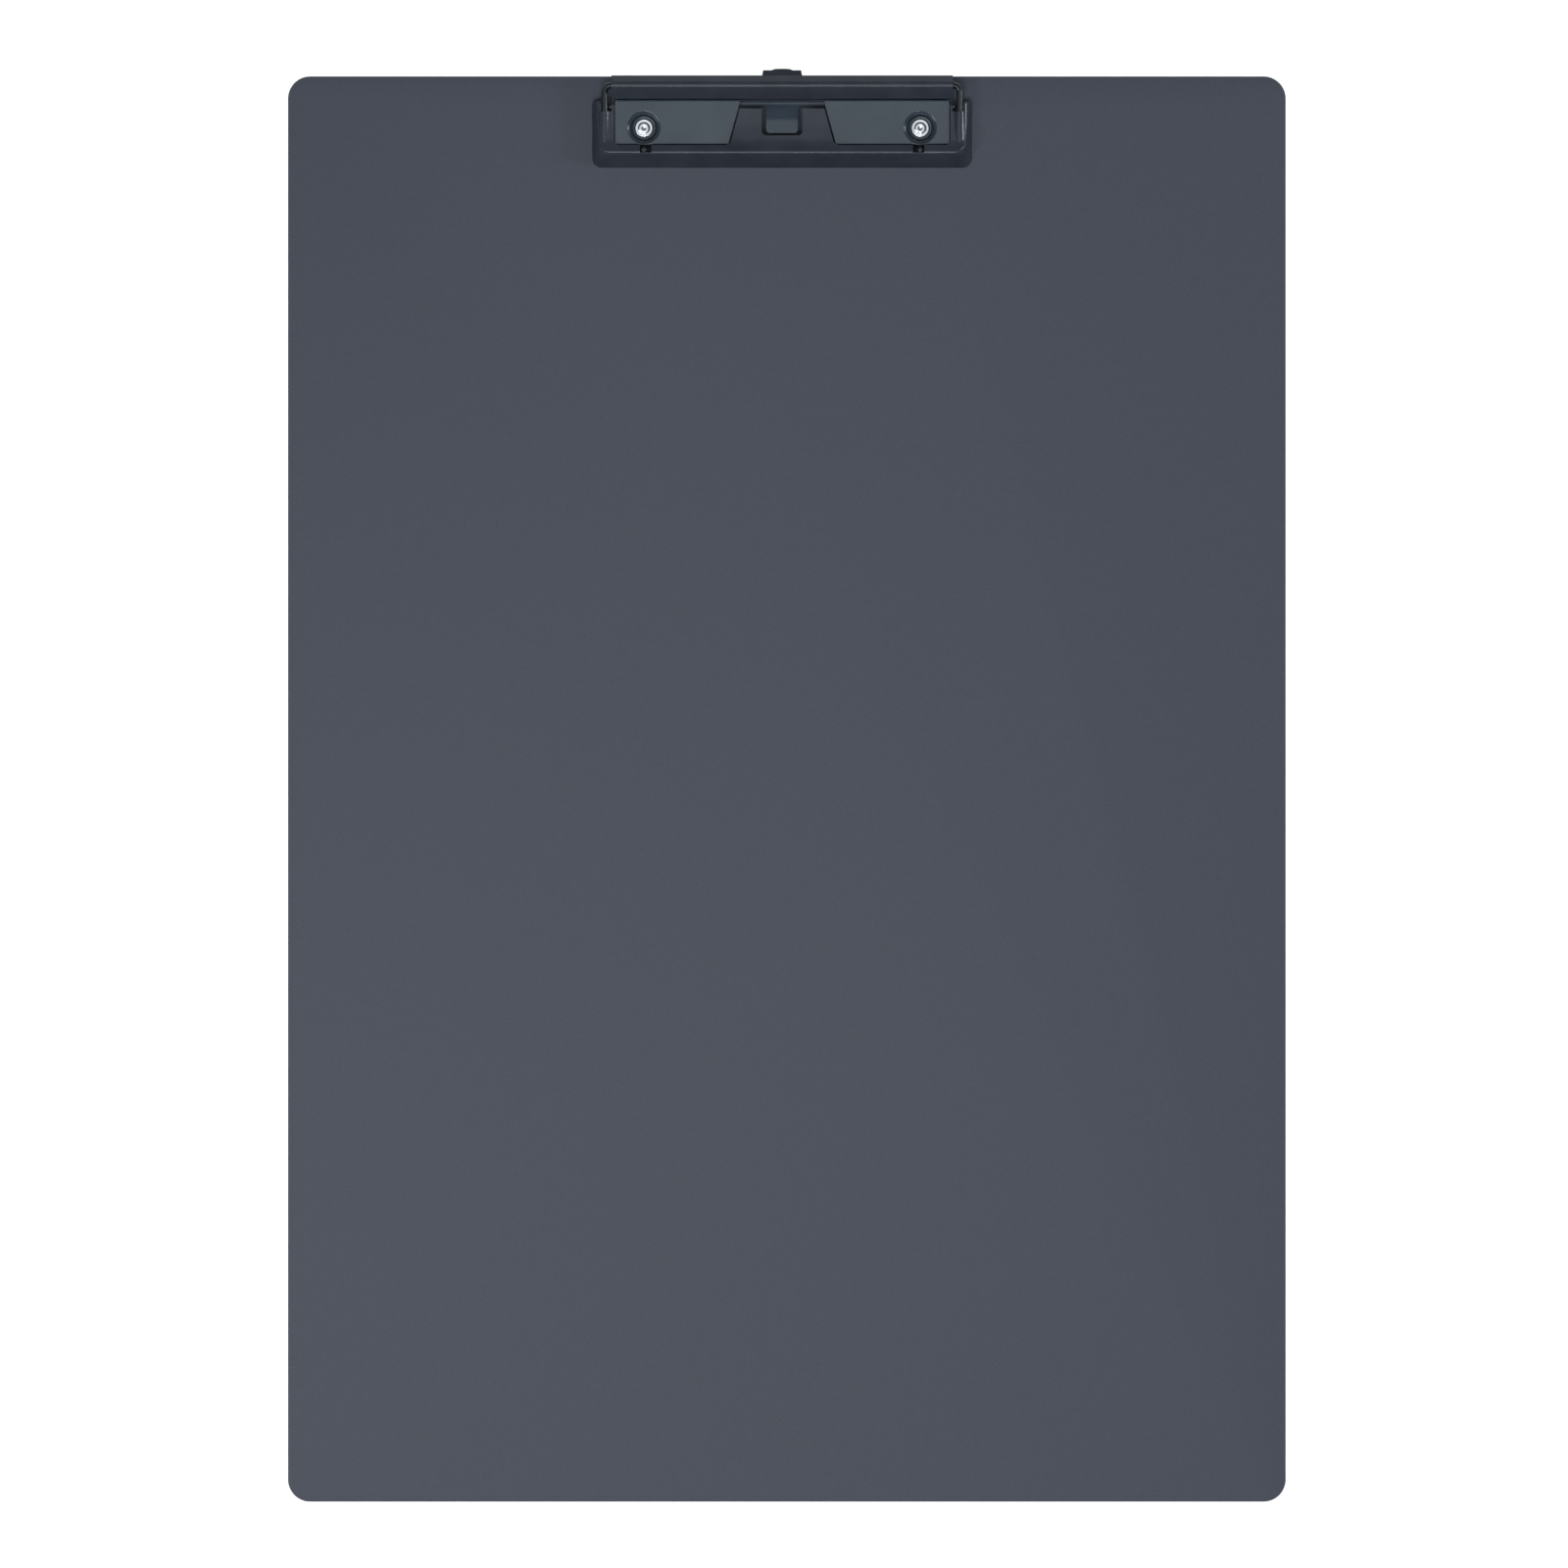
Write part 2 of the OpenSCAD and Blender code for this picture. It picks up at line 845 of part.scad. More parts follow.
module jaw_plate() {
    color([0.15, 0.17, 0.2])
        on_board() {
            difference() {
                union() {
                    difference() {
                        intersection() {
                            difference() {
                                jaw_envelope(0);
                                jaw_envelope(sheet_t);
                            }
                            translate([0, 0, lip_gap])
                                linear_extrude(through)
                                    jaw_plan();
                        }
                        both_sides()
                            wire_plane()
                                channel_bores();
                    }
                    both_sides()
                        wire_plane()
                            channel_walls();
                }
                both_sides()
                    tip_slot();
                across(-jaw_half - 1, jaw_half + 1)
                    polygon([
                        [arm_rear_s - 1, -2],
                        [arm_rear_s - 1, 1.2],
                        [jaw_axis_s + 1, lip_gap],
                        [lip_front_s + 1, lip_gap],
                        [lip_front_s + 1, -2]
                    ]);
            }
            both_sides()
                jaw_lug();
        }
}

// ---- jaw pins ----

module jaw_pin() {
    head_r = jaw_pin_r + 0.5;
    head_t = 0.5;
    head_gap = 0.1;
    translate([base_wall_inner, -jaw_axis_s, jaw_axis_h])
        rotate([0, 90, 0]) {
            cylinder(r = jaw_pin_r, h = ear_outer + head_gap - base_wall_inner);
            translate([0, 0, ear_outer + head_gap - base_wall_inner])
                cylinder(r = head_r, h = head_t);
        }
}

module right_jaw_pin() {
    color([0.7, 0.7, 0.72])
        on_board()
            jaw_pin();
}

module left_jaw_pin() {
    color([0.7, 0.7, 0.72])
        on_board()
            mirror([1, 0, 0])
                jaw_pin();
}

board_core();
front_cover();
back_cover();
base_plate();
lever();
jaw_plate();
left_spring();
right_spring();
left_rivet();
right_rivet();
left_jaw_pin();
right_jaw_pin();
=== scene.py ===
"""Clipboard for large sheets: looks for the film-covered board and its riveted, sprung clip."""

import math

import bmesh
import bpy
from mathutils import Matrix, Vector


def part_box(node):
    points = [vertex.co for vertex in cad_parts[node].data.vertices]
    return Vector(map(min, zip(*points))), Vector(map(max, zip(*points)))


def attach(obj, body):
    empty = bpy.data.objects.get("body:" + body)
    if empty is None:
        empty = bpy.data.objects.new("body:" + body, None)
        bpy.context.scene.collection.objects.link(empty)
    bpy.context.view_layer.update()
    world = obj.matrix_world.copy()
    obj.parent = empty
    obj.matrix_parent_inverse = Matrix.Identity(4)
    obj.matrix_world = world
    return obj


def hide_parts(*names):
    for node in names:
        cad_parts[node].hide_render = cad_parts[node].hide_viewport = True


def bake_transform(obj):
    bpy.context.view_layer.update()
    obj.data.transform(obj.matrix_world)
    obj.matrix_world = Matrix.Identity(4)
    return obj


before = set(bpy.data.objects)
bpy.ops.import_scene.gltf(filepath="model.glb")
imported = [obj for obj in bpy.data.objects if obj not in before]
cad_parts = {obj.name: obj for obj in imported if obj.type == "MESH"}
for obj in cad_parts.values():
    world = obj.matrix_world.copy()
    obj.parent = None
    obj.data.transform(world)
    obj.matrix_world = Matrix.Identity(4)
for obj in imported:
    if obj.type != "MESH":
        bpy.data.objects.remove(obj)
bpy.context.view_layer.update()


# ---- Camera ----
# A copy-stand camera with a long lens hangs over the board and looks straight down,
# so that the whole sheet area fills most of the square frame.
sensor = 0.036
lens = 0.3
frame_width = 0.495
board_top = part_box("front_cover")[1].z
board_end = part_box("front_cover")[1].y
camera_height = frame_width * lens / sensor
bpy.ops.object.select_all(action="DESELECT")
bpy.ops.object.camera_add(location=(-0.0009, 0.0016, board_top + camera_height), rotation=(0, 0, 0))
camera = bpy.context.object
camera.data.sensor_width = sensor * 1000
camera.data.lens = lens * 1000
camera.data.clip_end = 20
bpy.context.scene.camera = camera
bpy.context.scene.view_settings.view_transform = "Standard"


# ---- Studio ----
# A pale lit table under a wide soft box. Two thin strips and a small fill stand round it,
# so that flat paint shows the even box and every bend draws a thin bright line.
def start_material(name, roughness):
    """A new material, with its node tree and its surface shader."""
    material = bpy.data.materials.new(name)
    material.use_nodes = True
    shader = material.node_tree.nodes["Principled BSDF"]
    shader.inputs["Roughness"].default_value = roughness
    return material, material.node_tree, shader


def grain(tree, size, detail=2):
    """Soft noise in the piece's own coordinates, with blotches about size metres across."""
    place = tree.nodes.new("ShaderNodeTexCoord")
    noise = tree.nodes.new("ShaderNodeTexNoise")
    noise.inputs["Scale"].default_value = 1 / size
    noise.inputs["Detail"].default_value = detail
    tree.links.new(place.outputs["Object"], noise.inputs["Vector"])
    return noise.outputs["Fac"]


def blend_colours(tree, factor, first, second, low=0.3, high=0.7):
    """Runs from the first colour to the second as the factor goes from low to high."""
    ramp = tree.nodes.new("ShaderNodeValToRGB")
    ramp.color_ramp.elements[0].position = low
    ramp.color_ramp.elements[0].color = (*first, 1)
    ramp.color_ramp.elements[1].position = high
    ramp.color_ramp.elements[1].color = (*second, 1)
    tree.links.new(factor, ramp.inputs["Fac"])
    return ramp.outputs["Color"]


def raise_grain(tree, shader, height, depth):
    """Turns a pattern into relief that is depth metres deep."""
    relief = tree.nodes.new("ShaderNodeBump")
    relief.inputs["Strength"].default_value = 1
    relief.inputs["Distance"].default_value = depth
    tree.links.new(height, relief.inputs["Height"])
    tree.links.new(relief.outputs["Normal"], shader.inputs["Normal"])


table_white, tree, shader = start_material("table_white", 0.7)
shader.inputs["Emission Color"].default_value = (1, 1, 1, 1)
shader.inputs["Emission Strength"].default_value = 0.9
tree.links.new(
    blend_colours(tree, grain(tree, 0.002), (0.34, 0.34, 0.34), (0.36, 0.36, 0.36)),
    shader.inputs["Base Color"],
)
bpy.ops.object.select_all(action="DESELECT")
bpy.ops.mesh.primitive_plane_add(size=6, location=(0, 0, -0.0005))
table = bpy.context.object
table.name = "table"
table.data.materials.append(table_white)

world = bpy.data.worlds.new("studio")
world.use_nodes = True
world.node_tree.nodes["Background"].inputs["Color"].default_value = (0.86, 0.93, 1, 1)
world.node_tree.nodes["Background"].inputs["Strength"].default_value = 0.3
bpy.context.scene.world = world


def add_soft_box(name, place, width, length, glow):
    """A rectangular light of even brightness that faces the clip end of the board."""
    bpy.ops.object.select_all(action="DESELECT")
    bpy.ops.object.light_add(type="AREA", location=place)
    light = bpy.context.object
    light.name = name
    light.data.shape = "RECTANGLE"
    light.data.size = width
    light.data.size_y = length
    light.data.energy = glow * math.pi * width * length
    light.data.color = (0.90, 0.96, 1)
    aim = Vector((0, 0.1, 0)) - Vector(place)
    light.rotation_euler = aim.to_track_quat("-Z", "Y").to_euler()
    light.visible_camera = False


add_soft_box("overhead_box", (-0.1, 0.05, 1.9), 1.9, 1.5, 1.4)
add_soft_box("front_strip", (-0.2, -0.6, 1.8), 1.1, 0.36, 13)
add_soft_box("right_strip", (1.75, 0.32, 0.75), 0.36, 0.4, 40)
add_soft_box("left_fill", (-0.85, -0.35, 0.95), 0.3, 0.3, 22)


# ---- Board core ----
# The stiff sheet inside the board: pressed fibreboard, cut 1 mm short of the films all
# round. The films hide it, and it keeps the frame's own shape.
fibreboard, tree, shader = start_material("fibreboard", 0.85)
fibres = grain(tree, 0.0008, 6)
tree.links.new(
    blend_colours(tree, fibres, (0.3, 0.22, 0.14), (0.46, 0.36, 0.25)),
    shader.inputs["Base Color"],
)
raise_grain(tree, shader, fibres, 0.0002)
board_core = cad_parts["board_core"]
board_core.data.materials.clear()
board_core.data.materials.append(fibreboard)


# ---- Front film ----
# The face of the board: a slate-grey polypropylene film with a fine matt grain, moulded
# with a rim that closes the upper half of the edge. Two holes let the rivets through.
corner_r = 0.007
film_t = 0.0004
film_rim = 0.001
film_edge_r = 0.0003


def add_block(name, low, high):
    """A box between two corners, with its place in its mesh."""
    bpy.ops.object.select_all(action="DESELECT")
    bpy.ops.mesh.primitive_cube_add(size=1, location=(Vector(low) + Vector(high)) / 2)
    block = bpy.context.object
    block.name = name
    block.scale = Vector(high) - Vector(low)
    bpy.ops.object.transform_apply(location=True, rotation=True, scale=True)
    return block


def start_edit(piece, kind):
    """Goes into edit mode on the piece, with nothing selected."""
    bpy.ops.object.select_all(action="DESELECT")
    bpy.context.view_layer.objects.active = piece
    bpy.ops.object.mode_set(mode="EDIT")
    bpy.ops.mesh.select_mode(type=kind)
    bpy.ops.mesh.select_all(action="DESELECT")


def pick(piece, kind, test):
    """Goes into edit mode on the piece and selects the faces or edges that pass the test.
    The test is given the middle, and the face's normal or the edge's direction."""
    start_edit(piece, kind)
    mesh = bmesh.from_edit_mesh(piece.data)
    if kind == "FACE":
        for face in mesh.faces:
            face.select_set(test(face.calc_center_median(), face.normal))
    else:
        for edge in mesh.edges:
            ends = [corner.co for corner in edge.verts]
            edge.select_set(test((ends[0] + ends[1]) / 2, (ends[1] - ends[0]).normalized()))
    bmesh.update_edit_mesh(piece.data)


def leave_edit():
    bpy.ops.object.mode_set(mode="OBJECT")


def apply_modifier(piece, kind, **settings):
    """Adds a modifier with these settings and applies it."""
    bpy.ops.object.select_all(action="DESELECT")
    piece.select_set(True)
    bpy.context.view_layer.objects.active = piece
    bpy.ops.object.modifier_add(type=kind)
    modifier = piece.modifiers[-1]
    for setting, value in settings.items():
        setattr(modifier, setting, value)
    bpy.ops.object.modifier_apply(modifier=modifier.name)


def combine(piece, tool, operation):
    """Cuts the tool out of the piece, or melts it onto the piece, and removes the tool."""
    apply_modifier(piece, "BOOLEAN", operation=operation, object=tool, solver="MANIFOLD")
    bpy.data.objects.remove(tool)


def smooth(piece, degrees=35):
    bpy.ops.object.select_all(action="DESELECT")
    piece.select_set(True)
    bpy.context.view_layer.objects.active = piece
    bpy.ops.object.shade_smooth_by_angle(angle=math.radians(degrees))


def finish_piece(piece, material, slot, body, *nodes):
    """Gives the piece its material, hides the frame's parts that it stands for, and hangs it on its
    body if it has one.
    """
    piece.data.materials.clear()
    piece.data.materials.append(material)
    if nodes:
        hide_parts(*nodes)
    if body:
        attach(piece, body)


def add_drill(centre, radius, low, high):
    """A round cutter that stands upright between two heights."""
    bpy.ops.object.select_all(action="DESELECT")
    bpy.ops.mesh.primitive_cylinder_add(
        vertices=48, radius=radius, depth=high - low, location=(centre.x, centre.y, (low + high) / 2)
    )
    bpy.ops.object.transform_apply(location=True, rotation=True, scale=True)
    return bpy.context.object


rivets = [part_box("left_rivet"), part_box("right_rivet")]
rivet_centres = [(low + high) / 2 for low, high in rivets]
rivet_hole_r = 0.0017


def add_film(name, face_z, into):
    """A sheet with rounded corners whose rim runs into the board from its face."""
    low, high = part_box("front_cover")
    mid_z = (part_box("back_cover")[0].z + high.z) / 2
    film = add_block(
        name,
        (low.x, low.y, min(face_z, mid_z)),
        (high.x, high.y, max(face_z, mid_z)),
    )
    pick(film, "EDGE", lambda middle, way: abs(way.z) > 0.9)
    bpy.ops.mesh.bevel(offset=corner_r, segments=12)
    leave_edit()
    pick(film, "FACE", lambda middle, normal: normal.z * into > 0.9)
    bpy.ops.mesh.inset(thickness=film_rim)
    depth = abs(mid_z - face_z) - film_t
    bpy.ops.mesh.extrude_region_move(TRANSFORM_OT_translate={"value": (0, 0, -into * depth)})
    leave_edit()
    pick(film, "EDGE", lambda middle, way: abs(middle.z - face_z) < 1e-6 and abs(way.z) < 0.1)
    bpy.ops.mesh.bevel(offset=film_edge_r, segments=3)
    leave_edit()
    for centre in rivet_centres:
        drill = add_drill(centre, rivet_hole_r, -0.01, 0.02)
        combine(film, drill, "DIFFERENCE")
    return film


slate_film, tree, shader = start_material("slate_film", 0.62)
mottle = grain(tree, 0.00035, 3)
tree.links.new(
    blend_colours(tree, mottle, (0.028, 0.031, 0.043), (0.035, 0.039, 0.053)),
    shader.inputs["Base Color"],
)
shader.inputs["Specular IOR Level"].default_value = 0.35
raise_grain(tree, shader, mottle, 0.00004)

front_film = add_film("front_film", board_top, -1)
smooth(front_film)
finish_piece(front_film, slate_film, "film", "root", "front_cover")


# ---- Back film ----
# The back of the board: the same film in a slightly duller batch, welded to the front
# one round the edge, with two round pockets that sink the rivets' back heads.
pocket_r = 0.0041
pocket_t = 0.0007
back_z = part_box("back_cover")[0].z

dull_film, tree, shader = start_material("dull_film", 0.7)
mottle = grain(tree, 0.0006, 3)
tree.links.new(
    blend_colours(tree, mottle, (0.043, 0.052, 0.066), (0.055, 0.066, 0.082)),
    shader.inputs["Base Color"],
)
raise_grain(tree, shader, mottle, 0.00006)

back_film = add_film("back_film", back_z, 1)
for centre in rivet_centres:
    drill = add_drill(centre, pocket_r, back_z - 0.001, back_z + pocket_t)
    combine(back_film, drill, "DIFFERENCE")
smooth(back_film)
finish_piece(back_film, dull_film, "film", "root", "back_cover")


# ---- Base plate ----
# The clip's fixed part: 0.8 mm sheet steel folded down at its front and rear, painted
# blue-black. Two dimples are pressed down to the board for the rivets, and a T-shaped
# tongue in the middle stops the sheets.
clip_middle = (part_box("jaw_plate")[0].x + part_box("jaw_plate")[1].x) / 2
steel_t = 0.0008
deck_h = 0.0042
deck_rear = 0.0077
deck_front = 0.0219
deck_half = 0.0527
deck_bend_r = 0.0005
dimple_r = 0.005
dimple_floor_r = 0.0034
plate_gap = 0.0006
tongue_half = 0.0050
tongue_dip = 0.0024
axis_back = 0.0031
axis_h = 0.0048
eye_r = 0.0017
eye_bore_r = 0.00105
foot_rear = 0.0014
foot_h = 0.0012
opening_rear = 0.0085
plate_rear_half = 0.0133
plate_front_half = 0.0165
plate_rear = 0.0104
window_front = 0.022


def at(x, back, up):
    """A place on the clip: sideways from its middle, back from the board's end, up from the board."""
    return Vector((clip_middle + x, board_end - back, board_top + up))


def draw_line(name, points):
    """A line through the points, drawn by pulling one corner from place to place."""
    bpy.ops.object.select_all(action="DESELECT")
    bpy.ops.mesh.primitive_plane_add(size=0.001, location=points[0])
    line = bpy.context.object
    line.name = name
    bpy.ops.object.mode_set(mode="EDIT")
    bpy.ops.mesh.select_mode(type="VERT")
    bpy.ops.mesh.select_all(action="SELECT")
    bpy.ops.mesh.merge(type="CENTER")
    for start, end in zip(points, points[1:]):
        bpy.ops.mesh.extrude_region_move(TRANSFORM_OT_translate={"value": end - start})
    bpy.ops.object.mode_set(mode="OBJECT")
    bpy.ops.object.transform_apply(location=True, rotation=True, scale=True)
    return line


def fold_sheet(name, half, path, bends, segments=5):
    """Sheet metal folded along lines that run across the clip. The path is where its outer
    face goes, as set-backs and heights, and each inner point of it has a bend radius."""
    sheet = draw_line(name, [at(-half, back, up) for back, up in path])
    bpy.ops.object.mode_set(mode="EDIT")
    bpy.ops.mesh.select_all(action="SELECT")
    bpy.ops.mesh.extrude_region_move(TRANSFORM_OT_translate={"value": (2 * half, 0, 0)})
    leave_edit()
    for (before, here, after), radius in zip(zip(path, path[1:], path[2:]), bends):
        first = math.atan2(here[1] - before[1], here[0] - before[0])
        second = math.atan2(after[1] - here[1], after[0] - here[0])
        if radius:
            fold = at(0, *here)
            pick(
                sheet, "EDGE",
                lambda middle, way: abs(way.x) > 0.9 and (middle - fold).length < 1e-5,
            )
            reach = radius * math.tan(abs(second - first) / 2)
            bpy.ops.mesh.bevel(offset=reach, segments=segments, clamp_overlap=False)
            leave_edit()
    return sheet


def face_up(piece):
    """Turns an open sheet so that its outer side is the upper one."""
    pick(piece, "FACE", lambda middle, normal: True)
    bpy.ops.mesh.normals_make_consistent(inside=False)
    mesh = bmesh.from_edit_mesh(piece.data)
    if sum(face.normal.z * face.calc_area() for face in mesh.faces) < 0:
        bpy.ops.mesh.flip_normals()
    leave_edit()


def thicken(piece, thickness):
    """Gives an open sheet its thickness, on the inner side of its outer face."""
    face_up(piece)
    apply_modifier(piece, "SOLIDIFY", thickness=thickness, offset=-1, use_even_offset=True)


def soften(piece, width, degrees=40, segments=2):
    """Rounds every sharp edge of the piece a little, as a press tool leaves it."""
    apply_modifier(
        piece, "BEVEL", width=width, segments=segments, limit_method="ANGLE",
        angle_limit=math.radians(degrees), use_clamp_overlap=True,
    )
    smooth(piece)
    apply_modifier(piece, "WEIGHTED_NORMAL", keep_sharp=True)


base_path = [(deck_rear, 0), (deck_rear, deck_h), (deck_front, deck_h), (deck_front, 0)]
base_plate = fold_sheet("clip_base", deck_half, base_path, [deck_bend_r, deck_bend_r])
thicken(base_plate, steel_t)


def add_plate(name, corners, thickness_step):
    """A flat plate: its outline drawn corner by corner, filled, and pulled to its thickness."""
    plate = draw_line(name, corners + [corners[0]])
    bpy.ops.object.mode_set(mode="EDIT")
    bpy.ops.mesh.select_all(action="SELECT")
    bpy.ops.mesh.remove_doubles(threshold=0.00001)
    bpy.ops.mesh.edge_face_add()
    bpy.ops.mesh.extrude_region_move(TRANSFORM_OT_translate={"value": thickness_step})
    bpy.ops.mesh.select_all(action="SELECT")
    bpy.ops.mesh.normals_make_consistent(inside=False)
    leave_edit()
    return plate


def plate_half(back):
    """Half the width of the jaw's middle plate at this set-back: its sides slant."""
    slant = (plate_front_half - plate_rear_half) / (window_front - plate_rear)
    return plate_rear_half + slant * (back - plate_rear)


# The opening under the jaw's middle plate. Behind it the rear wall is cut lower, so that
# the T can start deep.
cut_front = 0.03
wall_cut_rear = 0.007
wall_cut_h = deck_h - tongue_dip - 0.0006
for rear, bottom in ((opening_rear, -0.01), (wall_cut_rear, wall_cut_h)):
    rear_half = plate_half(rear) + plate_gap
    front_half = plate_half(cut_front) + plate_gap
    opening = add_plate("cutter", [
        at(-rear_half, rear, bottom), at(rear_half, rear, bottom),
        at(front_half, cut_front, bottom), at(-front_half, cut_front, bottom),
    ], (0, 0, 0.02))
    combine(base_plate, opening, "DIFFERENCE")


def spin_profile(name, centre, points, steps=48):
    """A turned shape: the profile, as radius and height over the board, spun round a post."""
    shape = draw_line(name, [centre + Vector((r, 0, up)) for r, up in points])
    bpy.ops.object.mode_set(mode="EDIT")
    bpy.ops.mesh.select_all(action="SELECT")
    bpy.ops.mesh.spin(steps=steps, angle=2 * math.pi, center=centre, axis=(0, 0, 1))
    bpy.ops.mesh.select_all(action="SELECT")
    bpy.ops.mesh.remove_doubles(threshold=0.00001)
    bpy.ops.mesh.normals_make_consistent(inside=False)
    leave_edit()
    return shape


for centre in rivet_centres:
    post = Vector((centre.x, centre.y, board_top))
    hole = add_drill(centre, dimple_r + 0.0003, board_top + deck_h - 0.0013, board_top + 0.02)
    combine(base_plate, hole, "DIFFERENCE")
    dimple = spin_profile("dimple", post, [
        (dimple_r + 0.0005, deck_h),
        (dimple_r + 0.0003, deck_h - 0.00003),
        (dimple_r + 0.0001, deck_h - 0.0001),
        (dimple_r - 0.0001, deck_h - 0.00022),
        (dimple_r - 0.0003, deck_h - 0.00042),
        (dimple_r - 0.0005, deck_h - 0.0008),
        (dimple_floor_r + 0.0005, steel_t + 0.0006),
        (dimple_floor_r + 0.0003, steel_t + 0.0002),
        (dimple_floor_r, steel_t),
        (rivet_hole_r, steel_t),
        (rivet_hole_r, 0),
        (dimple_floor_r + 0.0004, 0),
        (dimple_r + 0.0005, deck_h - steel_t),
        (dimple_r + 0.0005, deck_h),
    ])
    trim = add_block("cutter", at(-0.1, deck_front + 0.01, -0.01), at(0.1, deck_front, 0.02))
    combine(dimple, trim, "DIFFERENCE")
    combine(base_plate, dimple, "UNION")

# The T: a bar across the opening's rear and a tongue that rises to its tip
bar_middle = 0.009
bar_front = 0.0095
bar_half = 0.015
tongue_tip = 0.0181
t_corner_r = 0.0012
tongue = fold_sheet(
    "tongue", plate_half(bar_middle) + 2 * plate_gap,
    [
        (0.0079, deck_h - tongue_dip - 0.0002), (0.0104, deck_h - 0.0017),
        (0.0138, deck_h - 0.0008), (tongue_tip, deck_h - 0.0001),
    ],
    [0.012, 0.010],
)
thicken(tongue, steel_t)
t_plan = add_plate("tongue_plan", [at(x, back, -0.01) for x, back in [
    (-bar_half, wall_cut_rear), (bar_half, wall_cut_rear),
    (bar_half, bar_front), (tongue_half, bar_front),
    (tongue_half, tongue_tip), (-tongue_half, tongue_tip),
    (-tongue_half, bar_front), (-bar_half, bar_front),
]], (0, 0, 0.03))
pick(
    t_plan, "EDGE",
    lambda middle, way: abs(way.z) > 0.9 and abs(middle.x - clip_middle) < tongue_half + 1e-5,
)
bpy.ops.mesh.bevel(offset=t_corner_r, segments=5)
leave_edit()
combine(tongue, t_plan, "INTERSECT")
combine(base_plate, tongue, "UNION")


def add_cross_drill(side, back, up, radius):
    """A round cutter that runs sideways through the clip's parts at one end."""
    bpy.ops.object.select_all(action="DESELECT")
    bpy.ops.mesh.primitive_cylinder_add(
        vertices=32, radius=radius, depth=0.004, location=at(side * 0.053, back, up),
        rotation=(0, math.pi / 2, 0),
    )
    bpy.ops.object.transform_apply(location=True, rotation=True, scale=True)
    return bpy.context.object


# The end walls, with the low strips and the rear ears that hold the hinge wires
for side in (-1, 1):
    inner, outer = sorted((side * (deck_half - steel_t), side * deck_half))
    wall = add_block("wall", at(inner, deck_front, 0), at(outer, deck_rear, deck_h - 0.0003))
    foot = add_block("foot", at(inner, deck_rear + 0.0005, 0), at(outer, foot_rear, foot_h))
    ear_post = add_block("ear", at(inner, axis_back + eye_r, 0), at(outer, foot_rear, axis_h))
    bpy.ops.object.select_all(action="DESELECT")
    bpy.ops.mesh.primitive_cylinder_add(
        vertices=32, radius=eye_r, depth=steel_t,
        location=at((inner + outer) / 2, axis_back, axis_h), rotation=(0, math.pi / 2, 0),
    )
    ear_eye = bpy.context.object
    bpy.ops.object.transform_apply(location=True, rotation=True, scale=True)
    for part in (wall, foot, ear_post, ear_eye):
        combine(base_plate, part, "UNION")
    combine(base_plate, add_cross_drill(side, axis_back, axis_h, eye_bore_r), "DIFFERENCE")

deck_paint, tree, shader = start_material("deck_paint", 0.22)
peel = grain(tree, 0.0009, 2)
tone = grain(tree, 0.012, 2)
tree.links.new(
    blend_colours(tree, tone, (0.016, 0.024, 0.034), (0.022, 0.031, 0.043)),
    shader.inputs["Base Color"],
)
shader.inputs["Specular IOR Level"].default_value = 0.42
raise_grain(tree, shader, peel, 0.000012)

soften(base_plate, 0.00012)
finish_piece(base_plate, deck_paint, "deck_paint", "root", "base_plate")


# ---- Rivets ----
# Two zinc-plated steel rivets clamp the base plate to the board. Each is turned to one
# profile: a ringed front head with a centre dimple, a shank, and a flat back head.
rivet_profile = [
    (0, 0.00148), (0.0003, 0.00150), (0.0006, 0.00170), (0.0010, 0.00178), (0.0014, 0.00176),
    (0.0017, 0.00162), (0.0019, 0.00146), (0.0022, 0.00146), (0.0025, 0.00156), (0.0028, 0.00146),
    (0.0030, 0.00120), (0.0030, 0.00082), (0.0016, 0.00082), (0.0016, -0.0023),
    (0.0039, -0.0023), (0.0040, -0.0024), (0.0040, -0.0028), (0.0039, -0.0029), (0, -0.0029),
]

plated_steel, tree, shader = start_material("plated_steel", 0.26)
shader.inputs["Metallic"].default_value = 1
scuffs = grain(tree, 0.0004, 4)
tree.links.new(
    blend_colours(tree, scuffs, (0.36, 0.37, 0.39), (0.47, 0.47, 0.48)),
    shader.inputs["Base Color"],
)
raise_grain(tree, shader, scuffs, 0.00001)

for name, centre in zip(("left", "right"), rivet_centres):
    post = Vector((centre.x, centre.y, board_top))
    rivet = spin_profile(name + "_rivet_turned", post, rivet_profile)
    smooth(rivet, 50)
    finish_piece(rivet, plated_steel, "rivet_metal", "root", name + "_rivet")


# ---- Spring wires ----
# Hard-drawn 2 mm wire, blackened, one at each end of the clip. It starts in the base
# plate's ear, is the lever's hinge, runs down the arm and ends in a hook behind the lip.
wire_r = 0.001
wire_front_back = 0.0234
wire_front_h = 0.00395
leg_x = 0.056
rear_bend_r = 0.002
front_bend_r = 0.0025
tip_x = 0.0436
tip_bend_r = 0.0014
tip_l = 0.0008
wire_tilt = math.atan2(axis_h - wire_front_h, wire_front_back - axis_back)
wire_run = (wire_front_back - axis_back) / math.cos(wire_tilt)
front_line = axis_back + wire_run
corner_back = front_line - front_bend_r


def extrude_to(step):
    bpy.ops.mesh.extrude_region_move(TRANSFORM_OT_translate={"value": step})


